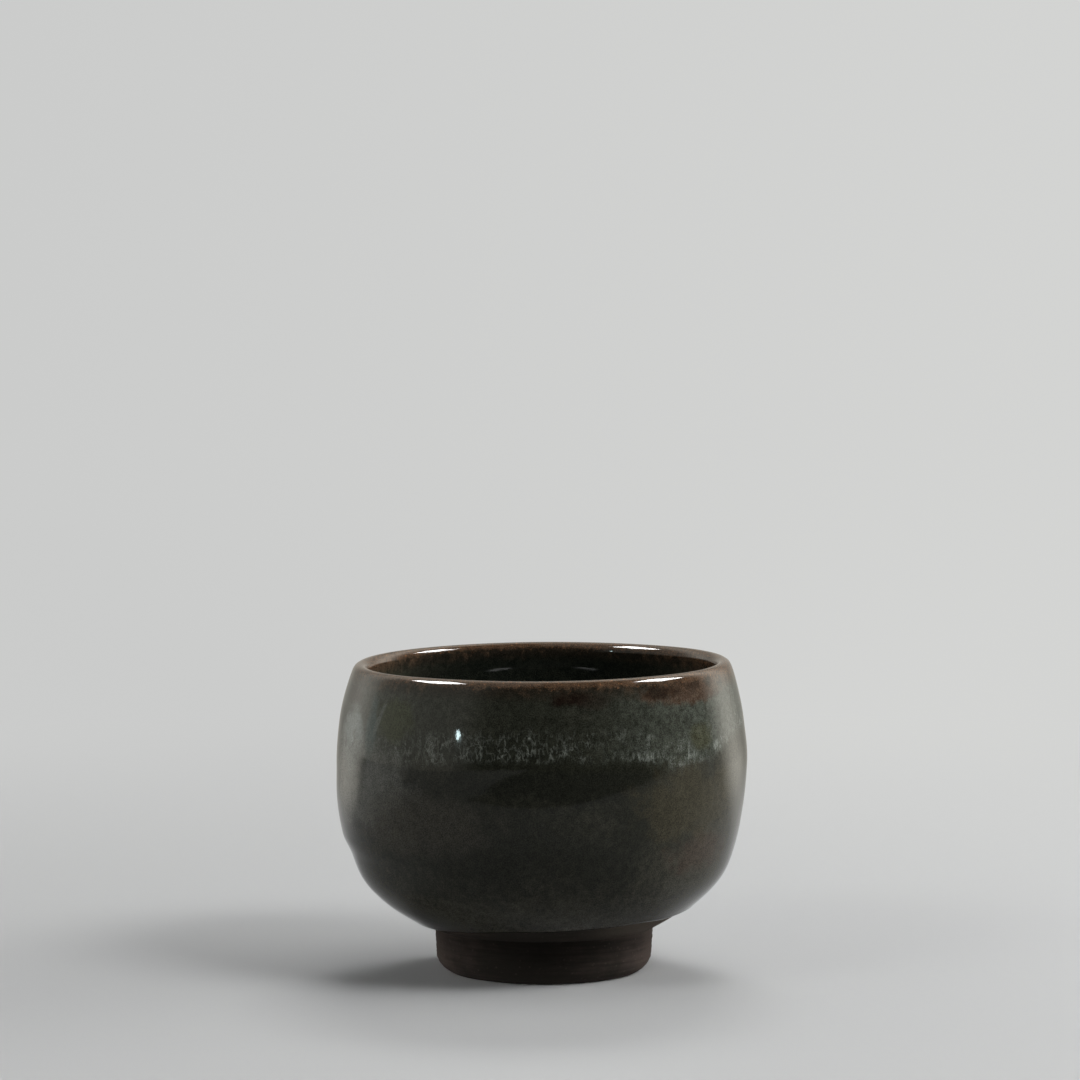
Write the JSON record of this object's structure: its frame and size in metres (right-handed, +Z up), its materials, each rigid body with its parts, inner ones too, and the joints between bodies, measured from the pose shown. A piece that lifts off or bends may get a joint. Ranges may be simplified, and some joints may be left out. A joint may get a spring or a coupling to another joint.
{
  "type": "guinomi sake cup",
  "caption": "Small thrown stoneware drinking cup: a rounded bowl drawn in at the lip, on a low bare-clay foot ring, with a dark glossy glaze and a second runny coat at the rim.",
  "frame": {"origin": "on the table, under the middle of the bowl's belly", "axes": "+Z up through the mouth; -Y towards the side that the picture shows; +X to the right in the picture"},
  "size_m": [0.068, 0.068, 0.0515],
  "materials": {
    "clay": "bare fired stoneware, matt, with fine turning lines",
    "base_glaze": "dark olive-grey glossy glaze with fine speckle",
    "liner_glaze": "green-black glossy glaze, pooled in the well",
    "rim_glaze": "blue-grey runny glaze with pale feathered runs, rust brown where it thins over the lip"
  },
  "bodies": {
    "root": {"bowl": "clay", "foot_ring": "clay", "outer_glaze": "base_glaze", "inner_glaze": "liner_glaze", "rim_glaze": "rim_glaze"}
  },
  "joints": []
}
